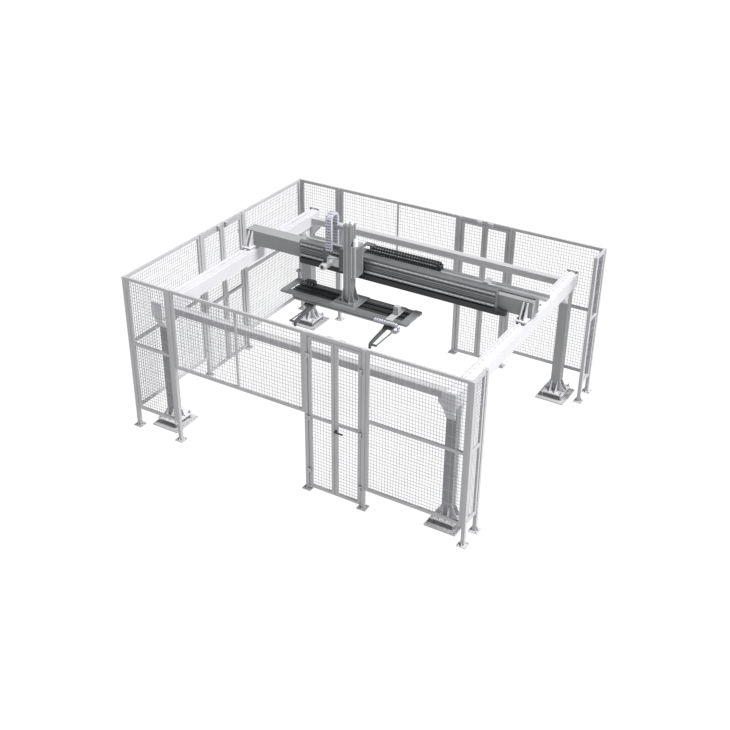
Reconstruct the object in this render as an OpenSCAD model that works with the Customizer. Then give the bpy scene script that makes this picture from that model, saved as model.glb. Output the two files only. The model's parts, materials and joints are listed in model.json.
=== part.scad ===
// Gantry robot in a mesh guard cell. Millimetres, +Z up.
// Origin: centre of the cell's footprint, on the floor. The front of the cell faces -Y.

/* [Guard fence] */
// Width of the cell between its corner posts, along X
cell_w = 5250; // [5200:10:5400]
// Depth of the cell between its corner posts, along Y
cell_d = 4310; // [4250:10:4500]
// Height of the fence above the floor
fence_h = 2400; // [2300:10:2500]
// Side of a square fence post
post_w = 50; // [40:1:60]
// Side of a post's square foot plate
post_foot = 130; // [120:5:160]
// Width of a panel frame's tube, in the plane of the panel
frame_w = 45; // [30:1:50]
// Thickness of a panel frame
frame_t = 30; // [20:1:40]
// Thickness of an infill wire
wire = 4; // [3:0.5:6]
// Distance between upright infill wires
pitch_u = 160; // [120:10:240]
// Distance between level infill wires
pitch_z = 200; // [150:10:300]
// Bottom of the ordinary panels
panel_z = 300; // [200:10:400]
// Bottom of the raised panels, above the two ways through
raised_z = 1200; // [1000:10:1400]
// Mid rail of the ordinary panels
mid_z = 1350; // [1200:10:1500]

/* [Doors] */
// Bottom of a door leaf
door_z = 40; // [30:1:80]
// Gap between a leaf and what stands beside it
door_gap = 6; // [5:1:10]
// Height of the fixed rail above each pair of leaves
header_h = 50; // [40:1:60]
// Height of the mid rail of a leaf
door_mid_z = 1150; // [1000:10:1300]
// Height of a handle's spindle
handle_z = 1080; // [1000:10:1100]

/* [Gantry frame] */
// Distance from the middle of the cell to a column's axis, along X
column_x = 2243; // [2200:1:2260]
// Distance from the middle of the cell to a column's axis, along Y
column_y = 1815; // [1780:1:1830]
// Side of a square column
column_w = 140; // [130:1:160]
// Top of the runway beams
runway_top = 2000; // [1950:10:2050]
// Height of a runway beam
runway_h = 200; // [160:10:220]
// Width of a runway beam
runway_w = 176; // [150:1:190]

/* [Bridge] */
// Length of the bridge beam
bridge_l = 4660; // [4600:10:4700]
// Front face of the bridge beam, along Y, with the bridge at rest
bridge_y = 245; // [200:5:280]
// Depth of the bridge beam
bridge_d = 220; // [180:5:240]
// Height of the bridge beam
bridge_h = 230; // [200:5:260]
// Left end of the cross axis
axis_x0 = -1315; // [-1400:5:-1200]
// Right end of the cross axis
axis_x1 = 1830; // [1700:5:1900]

/* [Mast and gripper] */
// Place of the mast along X, at rest
mast_x = -360; // [-400:5:-300]
// Place of the mast along Y, at rest
mast_y = -5; // [-10:1:0]
// Side of the square mast
mast_w = 130; // [110:2:140]
// Bottom of the mast's flange
mast_z0 = 1700; // [1690:5:1710]
// Top of the mast
mast_z1 = 2890; // [2850:10:2950]
// Length of the gripper frame
grip_l = 2120; // [2000:10:2140]
// Depth of the gripper frame
grip_d = 460; // [440:5:480]
// Distance from the mast to the right jaw
jaw_x = 760; // [720:5:765]
// Distance from the mast to the left jaw
jaw_left_x = 570; // [560:5:765]

/* [Hidden] */
$fn = 40;

fence_grey = [0.62, 0.63, 0.64];
frame_grey = [0.72, 0.73, 0.74];
beam_grey = [0.5, 0.51, 0.53];
black = [0.1, 0.1, 0.11];
silver = [0.75, 0.76, 0.78];
eps = 0.01;

// Posts, as places along each wall
long_posts = [-cell_w / 2, -1865, 315, 1165, cell_w / 2];
left_posts = [-505, 528];
right_posts = [-1815, 1815];
foot_t = 10;
post_gusset = 36;
anchor_r = 6;
anchor_at = post_foot / 2 - 20;

// Doors
header_z = fence_h - header_h;
hinge_out = 38;
hinge_in = 3;
hinge_r = 10;
pin_r = 5;
running = 0.05;
hinge_zs = [320, 1150, 2080];
knuckle_h = 50;
lug_h = 14;
front_door = [long_posts[2], long_posts[3]];
side_door = [left_posts[0], left_posts[1]];
handle_in = 24;
switch_u = 90;

// Gantry
floor_plate = [450, 500, 20];
plate_hole = 11;
plate_edge = 32;
upper_plate = [340, 360, 20];
upper_z = 90;
column_foot = upper_z + upper_plate[2];
runway_bottom = runway_top - runway_h;
runway_over = 110;
runway_l = 2 * (column_y + column_w / 2 + runway_over);
beam_z = 1848;
beam_h = 100;
beam_t = 110;
beam_off = 0;
haunch = 190;
knee_t = 14;
knee_edge = 18;
stop_t = 12;
screw_r = 10;
nut_r = 19;
nut_h = 16;
rail_w = 30;
rail_h = 26;
rack_w = 20;
rack_h = 24;
rack_x = runway_w / 2 - 26;

// Bridge
bridge_z = runway_top + 50;
bridge_top = bridge_z + bridge_h;
bridge_mid = bridge_y + bridge_d / 2;
truck_l = 540;
truck_w = 164;
truck_z = runway_top + 36;
truck_t = bridge_z - truck_z;
knee_run = 125;
belt_h = 90;
axis_t = 60;
axis_y = bridge_y - axis_t;
axis_z = 2100;
axis_h = 250;
axis_rail = 24;
axis_rail_t = 20;
axis_rail_zs = [axis_z + 40, axis_z + axis_h - 40];
tray_y = 345;
tray_w = 134;
tray_z = bridge_top + 12;
tray_h = 46;
tray_x0 = -1325;
tray_x1 = 2480;
tray_clamp_x = 1590;

// Energy chains: height of a link, radius at the middle of the links, width
chain_h = 40;
x_chain_w = 96;
x_chain_r = 50;
x_chain_y = tray_y + tray_w / 2;
x_chain_z = tray_z + 6;
x_chain_fixed = 275;
x_chain_end = 825;
x_chain_start = -200;
z_chain_w = 100;
z_chain_r = 84;
z_chain_x = -656;
z_chain_y = 12;
z_chain_top = 3010;
z_arch_z = z_chain_top - z_chain_r - chain_h / 2;
z_leg_z = 2440;
z_back_z = 2490;
z_back_leg = z_chain_y + z_chain_r - chain_h / 2;
z_chain_front = z_chain_y - z_chain_r - chain_h / 2 - 2;
leg_arm_x = z_chain_x - z_chain_w / 2 - 45;

// Line shaft and its pinions
shaft_r = 15;
shaft_y = 672;
pinion_r = 30;
shaft_z = runway_top + rack_h + pinion_r + 0.5;
motor_x = 1450;
bearing_x = column_x + 24;

// Carriage, as places at rest
mast_back = mast_y + mast_w / 2;
mast_rail = 24;
mast_rail_t = 15;
carriage_x0 = -590;
carriage_x1 = -290;
carriage_z0 = 2080;
carriage_z1 = 2420;
carriage_front = 95;
carriage_back = 140;
arm_z = x_chain_z + 2 * x_chain_r + chain_h + 4;
arm_t = 14;
chain_arm_x = carriage_x1 - 55;
chain_arm_w = 50;
x_chain_back = x_chain_y + x_chain_w / 2;
x_motor_x = -725;
x_motor_z = 2200;
x_motor_front = -155;
z_cover_x = -288;
z_cover_y0 = -70;
z_cover_y1 = 150;
z_cover_z0 = 2110;
z_cover_z1 = 2590;
clip_y0 = 62;
clip_z = 2740;
clip_h = 50;
clip_d = 60;
clip_t = 10;
clip_out = z_chain_w / 2 + 11;

// Slots of the aluminium profiles, and the flange's bolt holes
slot_w = 10;
slot_d = 12;
flange_x = 250;
flange_y = 220;
flange_hole = 7;

// Gripper
bar_w = 100;
bar_h = 90;
bar_top = 26;
bar_l = 1700;
bar_z = mast_z0 - 12 - bar_h;
grip_y = 15;
grip_front = grip_y - grip_d / 2;
grip_back = grip_y + grip_d / 2;
slide_h = 20;
slide_w = 24;
jaw_w = 150;
jaw_t = 26;
jaw_z = bar_z - slide_h - jaw_t - 3;
finger_t = 34;
finger_y = -640;
grip_motor_x = mast_x + 770;
grip_chain_x = mast_x + jaw_x + 130;
grip_chain_y = grip_front - 34;
grip_chain_z = 1612;
grip_chain_r = 62;
grip_chain_w = 44;
grip_chain_h = 30;
grip_chain_run = 330;

// ---- helpers ----------------------------------------------------------------------------------

// A box between two opposite corners
module block(low, high) {
    translate(low) cube([high[0] - low[0], high[1] - low[1], high[2] - low[2]]);
}

// A box centred on X and Y, standing on z
module stand(x, y, z, size) {
    translate([x - size[0] / 2, y - size[1] / 2, z]) cube(size);
}

// A round bar along X, Y or Z from a point
module rod_x(p, r, l) {
    translate(p) rotate([0, 90, 0]) cylinder(r = r, h = l);
}

module rod_y(p, r, l) {
    translate(p) rotate([-90, 0, 0]) cylinder(r = r, h = l);
}

// A right triangle in the XZ plane with legs a (along X) and b (up), thickness t along Y
module gusset_x(p, a, b, t) {
    translate([p[0], p[1] + t / 2, p[2]]) rotate([90, 0, 0])
        linear_extrude(t) polygon([[0, 0], [a, 0], [0, b]]);
}

// The four walls. In a wall's own frame X runs along it and -Y points out of the cell
module front_wall() {
    translate([0, -cell_d / 2, 0]) children();
}

module back_wall() {
    mirror([0, 1, 0]) translate([0, -cell_d / 2, 0]) children();
}

module left_wall() {
    translate([-cell_w / 2, 0, 0]) mirror([1, -1, 0]) children();
}

module right_wall() {
    translate([cell_w / 2, 0, 0]) rotate([0, 0, 90]) children();
}

// ---- guard fence ------------------------------------------------------------------------------

module at_posts() {
    front_wall() for (u = long_posts) translate([u, 0, 0]) children();
    back_wall() for (u = long_posts) translate([u, 0, 0]) children();
    left_wall() for (u = left_posts) translate([u, 0, 0]) children();
    right_wall() for (u = right_posts) translate([u, 0, 0]) children();
}

module fence_posts() color(fence_grey) at_posts() stand(0, 0, foot_t, [post_w, post_w, fence_h - foot_t]);

// A bolt head on its washer, standing on z, with the end of its thread above
module anchor(x, y, z) translate([x, y, z - eps]) {
    cylinder(r = anchor_r * 2, h = anchor_r / 2);
    cylinder(r = anchor_r * 1.7, h = anchor_r * 1.8, $fn = 6);
    cylinder(r = anchor_r, h = anchor_r * 3);
}

// Foot plate of a post with two gussets and its anchor bolts
module post_feet() color(fence_grey) at_posts() {
    stand(0, 0, 0, [post_foot, post_foot, foot_t]);
    for (a = [90, 270]) rotate([0, 0, a])
        gusset_x([post_w / 2 + 0.2, 0, foot_t - eps], post_gusset, post_gusset * 2, 6);
    for (s = [-1, 1]) anchor(s * anchor_at, s * anchor_at, foot_t);
}

// A welded frame with crossed wires, from u0 to u1 and z0 to z1
module mesh_frame(u0, u1, z0, z1, rails = [], stiles = []) {
    w = u1 - u0;
    h = z1 - z0;
    for (u = [u0, u1 - frame_w]) translate([u, -frame_t / 2, z0]) cube([frame_w, frame_t, h]);
    for (z = concat([z0, z1 - frame_w], rails))
        translate([u0, -frame_t / 2, z]) cube([w, frame_t, frame_w]);
    for (u = stiles) translate([u - frame_w / 4, -frame_t / 2, z0]) cube([frame_w / 2, frame_t, h]);
    nu = max(1, floor((w - 2 * frame_w) / pitch_u));
    nz = max(1, floor((h - 2 * frame_w) / pitch_z));
    du = (w - 2 * frame_w) / nu;
    dz = (h - 2 * frame_w) / nz;
    if (nu > 1) for (i = [1:nu - 1])
        translate([u0 + frame_w + i * du - wire / 2, -wire, z0 + frame_w / 2])
            cube([wire, wire, h - frame_w]);
    if (nz > 1) for (i = [1:nz - 1])
        translate([u0 + frame_w / 2, 0, z0 + frame_w + i * dz - wire / 2])
            cube([w - frame_w, wire, wire]);
}

// A panel that fills the bay between two posts
module bay(a, b, z0, rails = [], stiles = []) {
    mesh_frame(a + post_w / 2 + 2, b - post_w / 2 - 2, z0, fence_h, rails, stiles);
}

module narrow_bay() {
    bay(long_posts[0], long_posts[1], panel_z, [mid_z]);
}

module wide_bay() {
    bay(long_posts[1], long_posts[2], raised_z, [], [(long_posts[1] + long_posts[2]) / 2]);
}

module end_bay() {
    bay(long_posts[3], long_posts[4], panel_z, [mid_z]);
}

module panels_narrow() color(fence_grey) {
    front_wall() narrow_bay();
    back_wall() narrow_bay();
}

module panels_wide() color(fence_grey) {
    front_wall() wide_bay();
    back_wall() wide_bay();
}

module panels_end() color(fence_grey) {
    front_wall() end_bay();
    back_wall() end_bay();
}

module panels_left() color(fence_grey) left_wall() {
    bay(-cell_d / 2, left_posts[0], panel_z, [mid_z]);
    bay(left_posts[1], cell_d / 2, panel_z, [mid_z]);
}

module panels_right() color(fence_grey) right_wall() {
    bay(-cell_d / 2, right_posts[0], panel_z, [mid_z]);
    bay(right_posts[1], cell_d / 2, panel_z, [mid_z]);
}

// The rail above a pair of leaves, with its switch boxes
module header(door) {
    block([door[0] + post_w / 2 + 1, -frame_t / 2, header_z],
          [door[1] - post_w / 2 - 1, frame_t / 2, fence_h]);
    mid = (door[0] + door[1]) / 2;
    for (s = [-1, 1]) {
        block([mid + s * switch_u - 40, frame_t / 2 - eps, header_z + 2],
              [mid + s * switch_u + 40, frame_t / 2 + 34, header_z + header_h - 4]);
        rod_y([mid + s * switch_u, frame_t / 2 + 30, header_z + header_h / 2], 12, 16);
    }
}

module door_headers() color(fence_grey) {
    front_wall() header(front_door);
    back_wall() header(front_door);
    left_wall() header(side_door);
}

// Hinge half on a post: two lugs and the pin between them. side is 1 where the leaf lies at +X
module post_hinge(post_u, side) {
    u = post_u + side * (post_w / 2 + hinge_in);
    for (z = hinge_zs) translate([u, -hinge_out, z]) {
        for (lz = [-knuckle_h / 2 - lug_h, knuckle_h / 2]) {
            translate([0, 0, lz]) cylinder(r = hinge_r, h = lug_h);
            block([-side * 14 - 9, 0, lz], [-side * 14 + 9, hinge_out - post_w / 2, lz + lug_h]);
            block([min(0, -side * 18), -hinge_r + 2, lz], [max(0, -side * 18), hinge_r - 2, lz + lug_h]);
        }
        translate([0, 0, -knuckle_h / 2 - lug_h]) cylinder(r = pin_r, h = knuckle_h + 2 * lug_h);
    }
}

module door_hinges() color(silver) {
    for (k = [0, 1]) {
        side = 1 - 2 * k;
        front_wall() post_hinge(front_door[k], side);
        back_wall() post_hinge(front_door[k], side);
        left_wall() post_hinge(side_door[k], side);
    }
}

// Leaf half of the hinges: a bored knuckle and the tab that carries the leaf
module leaf_hinge(axis_u, side) {
    for (z = hinge_zs) translate([axis_u, -hinge_out, z - knuckle_h / 2 + 1]) difference() {
        union() {
            cylinder(r = hinge_r, h = knuckle_h - 2);
            block([min(0, side * 34), -4, 0], [max(0, side * 34), 4, knuckle_h - 2]);
            block([min(side * 10, side * 34), 0, 0],
                  [max(side * 10, side * 34), hinge_out - frame_t / 2 + eps, knuckle_h - 2]);
        }
        translate([0, 0, -1]) cylinder(r = pin_r + running, h = knuckle_h);
    }
}

// A door leaf. k is 0 for the leaf on the first post and 1 for the other; latched carries the lock
module leaf(door, k, latched = false) {
    side = 1 - 2 * k;
    axis_u = door[k] + side * (post_w / 2 + hinge_in);
    mid = (door[0] + door[1]) / 2;
    near = axis_u + side * door_gap;
    far = mid - side * door_gap / 2;
    lock_u = far - side * handle_in;
    difference() {
        union() {
            mesh_frame(min(near, far), max(near, far), door_z, header_z - door_gap, [door_mid_z]);
            if (latched) block([lock_u - 20, -frame_t / 2 - 4, handle_z - 70],
                               [lock_u + 20, frame_t / 2 + 4, handle_z + 70]);
        }
        if (latched) rod_y([lock_u, -frame_t, handle_z], pin_r + running, 2 * frame_t);
    }
    leaf_hinge(axis_u, side);
}

// A lever handle with its spindle, on the leaf that carries the lock
module lever(door) {
    mid = (door[0] + door[1]) / 2;
    u = mid + door_gap / 2 + handle_in;
    out = -frame_t / 2 - 4;
    rod_y([u, out - 36, handle_z], pin_r, 36 + frame_t + 14);
    rod_y([u, out - 9, handle_z], 16, 8.7);
    block([u - 9, out - 44, handle_z - 11], [u + 120, out - 32, handle_z + 11]);
}

module front_door_left() color(fence_grey) front_wall() leaf(front_door, 0);
module front_door_right() color(fence_grey) front_wall() leaf(front_door, 1, true);
module back_door_left() color(fence_grey) back_wall() leaf(front_door, 0);
module back_door_right() color(fence_grey) back_wall() leaf(front_door, 1, true);
module side_door_front() color(fence_grey) left_wall() leaf(side_door, 0);
module side_door_back() color(fence_grey) left_wall() leaf(side_door, 1, true);
module front_door_handle() color(black) front_wall() lever(front_door);
module back_door_handle() color(black) back_wall() lever(front_door);
module side_door_handle() color(black) left_wall() lever(side_door);

// ---- gantry frame -----------------------------------------------------------------------------

module at_columns() {
    for (sx = [0, 1], sy = [0, 1]) mirror([sx, 0, 0]) mirror([0, sy, 0])
        translate([column_x, column_y, 0]) children();
}

module column(sx, sy) {
    color(beam_grey) stand(sx * column_x, sy * column_y, column_foot,
                           [column_w, column_w, runway_bottom - column_foot]);
}

module column_front_left() column(-1, -1);
module column_front_right() column(1, -1);
module column_back_left() column(-1, 1);
module column_back_right() column(1, 1);

// Places of the levelling screws around a column
module at_screws() {
    for (px = [-1, 1], py = [-1, 1])
        translate([px * (upper_plate[0] / 2 - 26), py * (upper_plate[1] / 2 - 26), 0]) children();
}

// The upper plate under each column, with the gussets that stand around it
module column_bases() color(frame_grey) at_columns() {
    difference() {
        stand(0, 0, upper_z, upper_plate);
        at_screws() translate([0, 0, upper_z - 1]) cylinder(r = screw_r + 1, h = upper_plate[2] + 2);
    }
    for (a = [0:3]) rotate([0, 0, 90 * a]) {
        reach = (a % 2 == 0 ? upper_plate[0] : upper_plate[1]) / 2 - column_w / 2 - 8;
        for (s = [-1, 1])
            gusset_x([column_w / 2 + 0.2, s * (column_w / 2 - 26), column_foot - eps], reach, 170, 12);
    }
}

// The plate on the floor under each column, bored at its corners for anchor bolts
module floor_plates() color(beam_grey) at_columns() difference() {
    stand(0, 0, 0, floor_plate);
    for (px = [-1, 1], py = [-1, 1])
        translate([px * (floor_plate[0] / 2 - plate_edge), py * (floor_plate[1] / 2 - plate_edge), -1])
            cylinder(r = plate_hole, h = floor_plate[2] + 2);
}

// Jack screws between the two plates, each with a foot and with nuts below and above the upper plate
module levelling_screws() color(silver) at_columns() at_screws() {
    translate([0, 0, floor_plate[2]]) cylinder(r = 20, h = 10);
    translate([0, 0, floor_plate[2]]) cylinder(r = screw_r, h = column_foot + 36 - floor_plate[2]);
    translate([0, 0, upper_z - nut_h]) cylinder(r = nut_r, h = nut_h, $fn = 6);
    translate([0, 0, column_foot]) cylinder(r = nut_r, h = nut_h, $fn = 6);
}

// A knee plate in the XZ plane: its square corner is up at the origin, legs a and b, thickness t
module knee(a, b, t) {
    rotate([90, 0, 0]) translate([0, 0, -t / 2]) linear_extrude(t)
        polygon([[0, 0], [a, 0], [a, -knee_edge], [knee_edge, -b], [0, -b]]);
}

// Knee blocks that tie each column to its runway, and knee plates that tie it to the cross beam
module haunch_brackets() color(frame_grey) at_columns() {
    translate([0, -column_w / 2 - 0.2, runway_bottom - 0.2])
        rotate([0, 0, -90]) knee(haunch, haunch, column_w - 10);
    translate([0, column_w / 2 + 0.2, runway_bottom - 0.2])
        rotate([0, 0, 90]) knee(runway_over - 4, haunch, column_w - 10);
    for (s = [-1, 1])
        translate([-column_w / 2 - 0.2, beam_off + s * (beam_t / 2 - knee_t), runway_bottom - 0.2])
            mirror([1, 0, 0]) knee(haunch * 0.7, haunch * 0.8, knee_t);
    translate([-runway_w / 2 - 0.2, beam_off, runway_bottom - 0.2]) mirror([1, 0, 0])
        block([0, -beam_t / 2, 0], [haunch * 0.7 - (runway_w - column_w) / 2, beam_t / 2,
              beam_z - runway_bottom]);
}

module runway(s) {
    x = s * column_x;
    color(frame_grey) {
        stand(x, 0, runway_bottom, [runway_w, runway_l - 2 * stop_t, runway_h]);
        for (e = [-1, 1])
            stand(x, e * (runway_l - stop_t) / 2, runway_bottom + 4, [runway_w + 8, stop_t, runway_h + 30]);
    }
}

module runway_left() runway(-1);
module runway_right() runway(1);

// Guide rails along the middle of each runway, with a chamfered head
module runway_rails() color(silver)
    for (s = [-1, 1]) translate([s * column_x, runway_l / 2 - 40, runway_top]) rotate([90, 0, 0])
        linear_extrude(runway_l - 80) polygon([
            [-rail_w / 2, 0], [rail_w / 2, 0], [rail_w / 2, rail_h * 0.35], [rail_w * 0.36, rail_h * 0.55],
            [rail_w / 2, rail_h * 0.75], [rail_w / 2, rail_h], [-rail_w / 2, rail_h],
            [-rail_w / 2, rail_h * 0.75], [-rail_w * 0.36, rail_h * 0.55], [-rail_w / 2, rail_h * 0.35]
        ]);

// Racks beside the rails, for the line shaft's pinions
module runway_racks() color(silver)
    for (s = [-1, 1])
        stand(s * (column_x - rack_x), 0, runway_top, [rack_w, runway_l - 80, rack_h]);

module cross_beam(s) {
    color(frame_grey) stand(0, s * (column_y + beam_off), beam_z,
                            [2 * column_x - runway_w - 2, beam_t, beam_h]);
}

module cross_beam_front() cross_beam(-1);
module cross_beam_back() cross_beam(1);

// ---- bridge -----------------------------------------------------------------------------------

module bridge_beam() color(beam_grey) {
    stand(0, bridge_mid, bridge_z, [bridge_l, bridge_d, bridge_h]);
    for (e = [-1, 1])
        stand(e * (bridge_l + 8) / 2, bridge_mid, bridge_z - 4, [8, bridge_d + 8, bridge_h + 8]);
}

// The shoe that carries one end of the bridge: a sole plate, two bearing blocks over the rail,
// upright knees before and behind the beam, and a bearing for the line shaft
module end_truck(s) {
    x = s * column_x;
    color(black) {
        stand(x, bridge_mid, truck_z, [truck_w, truck_l, truck_t]);
        for (e = [-1, 1], side = [-1, 1])
            stand(x + side * (rail_w / 2 + 14), bridge_mid + e * (truck_l / 2 - 70), runway_top + 4,
                  [26, 110, truck_z - runway_top - 4 + eps]);
        difference() {
            block([s * bearing_x - 12, bridge_mid + truck_l / 2 - 20, truck_z],
                  [s * bearing_x + 12, shaft_y + 30, shaft_z + 30]);
            rod_x([s * bearing_x - 20, shaft_y, shaft_z], shaft_r + running, 40);
        }
    }
    color(frame_grey) for (e = [-1, 1], k = [-30, 30])
        translate([x + k, bridge_mid + e * (bridge_d / 2 + 0.2), bridge_z - eps])
            rotate([90, 0, e * 90]) translate([0, 0, -7]) linear_extrude(14)
                polygon([[0, 0], [knee_run, 0], [knee_run, 20], [26, bridge_h - 12], [0, bridge_h - 12]]);
}

module end_truck_left() end_truck(-1);
module end_truck_right() end_truck(1);

// The cross axis: a grooved aluminium plate on the front of the beam
module axis_profile() color(silver) {
    difference() {
        block([axis_x0, axis_y, axis_z], [axis_x1, bridge_y - 0.2, axis_z + axis_h]);
        for (z = [axis_z + axis_h / 2 - 30, axis_z + axis_h / 2 + 30])
            block([axis_x0 - 1, axis_y - 1, z - 5], [axis_x1 + 1, axis_y + 14, z + 5]);
    }
    for (x = [axis_x0 - 12, axis_x1])
        block([x, axis_y - 6, axis_z - 6], [x + 12, bridge_y - 0.2, axis_z + axis_h + 6]);
}

module axis_rails() color(silver)
    for (z = axis_rail_zs)
        block([axis_x0 + 10, axis_y - axis_rail_t, z - axis_rail / 2],
              [axis_x1 - 10, axis_y, z + axis_rail / 2]);

// The covered drive belt below the cross axis, with a box at its right end
module belt_cover() color(black) {
    block([axis_x0, axis_y - 28, axis_z - belt_h], [axis_x1 + 60, bridge_y - 0.2, axis_z - 8]);
    block([axis_x1 + 60 - eps, axis_y - 10, axis_z - belt_h], [axis_x1 + 150, bridge_y - 0.2, axis_z - 26]);
    block([axis_x1 - 30, axis_y - 40, axis_z - 60], [axis_x1 - 12, axis_y - 28 + eps, axis_z - 8]);
}

// An open tray above the beam, on feet, for the cross axis's energy chain and the supply cables
module cable_tray() color(silver) {
    block([tray_x0, tray_y, tray_z], [tray_x1, tray_y + tray_w, tray_z + 3]);
    for (y = [tray_y, tray_y + tray_w - 3]) block([tray_x0, y, tray_z], [tray_x1, y + 3, tray_z + tray_h]);
    for (x = [tray_x0 + 80:(tray_x1 - tray_x0 - 400) / 6:tray_x1 - 240])
        block([x - 20, tray_y + 10, bridge_top + 0.2], [x + 20, tray_y + tray_w - 20, tray_z + eps]);
    block([tray_clamp_x - 40, tray_y - 8, tray_z + 2],
          [tray_clamp_x + 40, tray_y + tray_w + 8, tray_z + tray_h + 22]);
}

// Geared motor behind the beam, on the line shaft
module y_drive_motor() color(black) {
    difference() {
        block([motor_x - 55, bridge_y + bridge_d + 0.2, shaft_z - 40],
              [motor_x + 55, shaft_y + 46, shaft_z + 142]);
        rod_x([motor_x - 60, shaft_y, shaft_z], shaft_r + running, 120);
    }
    rod_x([motor_x + 55 - eps, shaft_y - 10, shaft_z + 92], 44, 190);
    rod_x([motor_x + 245 - 2 * eps, shaft_y - 10, shaft_z + 92], 36, 30);
}

// A shaft behind the beam with a pinion over each runway's rack
module line_shaft() color(silver) {
    rod_x([-bearing_x - 30, shaft_y, shaft_z], shaft_r, 2 * bearing_x + 60);
    for (s = [-1, 1]) rod_x([s * (column_x - rack_x) - rack_w / 2, shaft_y, shaft_z], pinion_r, rack_w);
}

// ---- energy chains ----------------------------------------------------------------------------

// Half a turn of chain in the XZ plane about the origin, opening towards -X: radius r at the middle
// of its links, width w along Y, link height h
module chain_bend(r, w, h = chain_h) {
    rotate([90, 0, 0]) rotate([0, 0, -90]) rotate_extrude(angle = 180)
        translate([r - h / 2, -w / 2]) square([h, w]);
}

module x_chain_lower() color(black)
    block([x_chain_fixed, x_chain_y - x_chain_w / 2, x_chain_z],
          [x_chain_end, x_chain_y + x_chain_w / 2, x_chain_z + chain_h]);

module x_chain_bend() color(black)
    translate([x_chain_end + 0.5, x_chain_y, x_chain_z + chain_h / 2 + x_chain_r])
        chain_bend(x_chain_r, x_chain_w);

module x_chain_upper() color(black)
    block([x_chain_start, x_chain_y - x_chain_w / 2, x_chain_z + 2 * x_chain_r],
          [x_chain_end, x_chain_y + x_chain_w / 2, x_chain_z + 2 * x_chain_r + chain_h]);

// The front leg of the lift's chain, up from the carriage
module z_chain_leg() color(silver)
    block([z_chain_x - z_chain_w / 2, z_chain_y - z_chain_r - chain_h / 2, z_leg_z],
          [z_chain_x + z_chain_w / 2, z_chain_y - z_chain_r + chain_h / 2, z_arch_z - 0.5]);

// The turn over the top and the short back leg
module z_chain_arch() color(silver) {
    translate([z_chain_x, z_chain_y, z_arch_z]) rotate([0, 0, 90]) rotate([0, -90, 0])
        chain_bend(z_chain_r, z_chain_w);
    block([z_chain_x - z_chain_w / 2, z_chain_y + z_chain_r - chain_h / 2, z_back_z],
          [z_chain_x + z_chain_w / 2, z_chain_y + z_chain_r + chain_h / 2, z_arch_z + eps]);
}

// The gripper's own chain: a run above the jaw, the turn at its right, and the run back to the jaw
module gripper_chain() color(silver) {
    inner = grip_chain_r - grip_chain_h / 2;
    outer = grip_chain_r + grip_chain_h / 2;
    lower_run = grip_chain_x - (mast_x + jaw_x + jaw_w / 2 + 0.5);
    translate([grip_chain_x, grip_chain_y + grip_chain_w / 2, grip_chain_z]) rotate([90, 0, 0])
        linear_extrude(grip_chain_w) difference() {
            union() {
                intersection() {
                    circle(r = outer);
                    translate([0, -outer]) square(2 * outer);
                }
                translate([-grip_chain_run, 0]) square([grip_chain_run, outer]);
                translate([-lower_run, -outer]) square([lower_run, outer]);
            }
            circle(r = inner);
            translate([-grip_chain_run - 1, -inner]) square([grip_chain_run + 1, 2 * inner]);
        }
}

// ---- carriage ---------------------------------------------------------------------------------

// A bearing block in front of one cross-axis rail, with lips over the rail's edges
module axis_block(x, z) {
    difference() {
        block([x - 45, carriage_back - eps, z - 30], [x + 45, axis_y - 3, z + 30]);
        block([x - 46, axis_y - axis_rail_t - 0.4, z - axis_rail / 2 - 0.4],
              [x + 46, axis_y, z + axis_rail / 2 + 0.4]);
    }
}

// The carriage: its plate with bearing blocks, the guide blocks for the mast, the bracket under the
// lift's chain and the arm that reaches back over the beam to the cross axis's chain
module carriage_plate() color(beam_grey) {
    block([carriage_x0, carriage_front, carriage_z0], [carriage_x1, carriage_back, carriage_z1]);
    for (z = axis_rail_zs, x = [carriage_x0 + 60, carriage_x1 - 60]) axis_block(x, z);
    for (z = [carriage_z0 + 30, carriage_z1 - 110]) difference() {
        block([mast_x - 34, mast_back + 3, z], [mast_x + 34, carriage_front + eps, z + 80]);
        block([mast_x - mast_rail / 2 - 0.4, mast_back, z - 1],
              [mast_x + mast_rail / 2 + 0.4, mast_back + mast_rail_t + 0.4, z + 81]);
    }
    block([leg_arm_x, carriage_back - 16, z_leg_z - 60], [carriage_x0 + eps, carriage_back, z_leg_z]);
    block([leg_arm_x, z_chain_front, z_leg_z - 60], [leg_arm_x + 30, carriage_back, z_leg_z]);
    block([leg_arm_x, z_chain_front, z_leg_z - 30],
          [z_chain_x + z_chain_w / 2, z_chain_front + chain_h + 4, z_leg_z - 0.2]);
    block([chain_arm_x, carriage_front, carriage_z1 - eps],
          [chain_arm_x + chain_arm_w, carriage_back, arm_z + arm_t]);
    block([chain_arm_x, carriage_front, arm_z],
          [chain_arm_x + chain_arm_w, x_chain_back, arm_z + arm_t]);
    block([chain_arm_x, x_chain_back - x_chain_w, arm_z],
          [x_chain_start - 0.3, x_chain_back, arm_z + arm_t]);
    block([x_chain_start - 40, x_chain_back - x_chain_w, x_chain_z + 2 * x_chain_r],
          [x_chain_start - 0.3, x_chain_back, arm_z + eps]);
}

// Servo motor and gearbox that drive the carriage along the bridge
module x_drive_motor() color(silver) {
    block([x_motor_x - 62, carriage_front - 20, x_motor_z - 60],
          [carriage_x0 - 0.2, carriage_back, x_motor_z + 56]);
    rod_y([x_motor_x, carriage_front - 60, x_motor_z], 44, 40 + eps);
    rod_y([x_motor_x, x_motor_front + 40, x_motor_z], 54, carriage_front - 100 - x_motor_front + eps);
    rod_y([x_motor_x, x_motor_front, x_motor_z], 48, 40 + eps);
}

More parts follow.
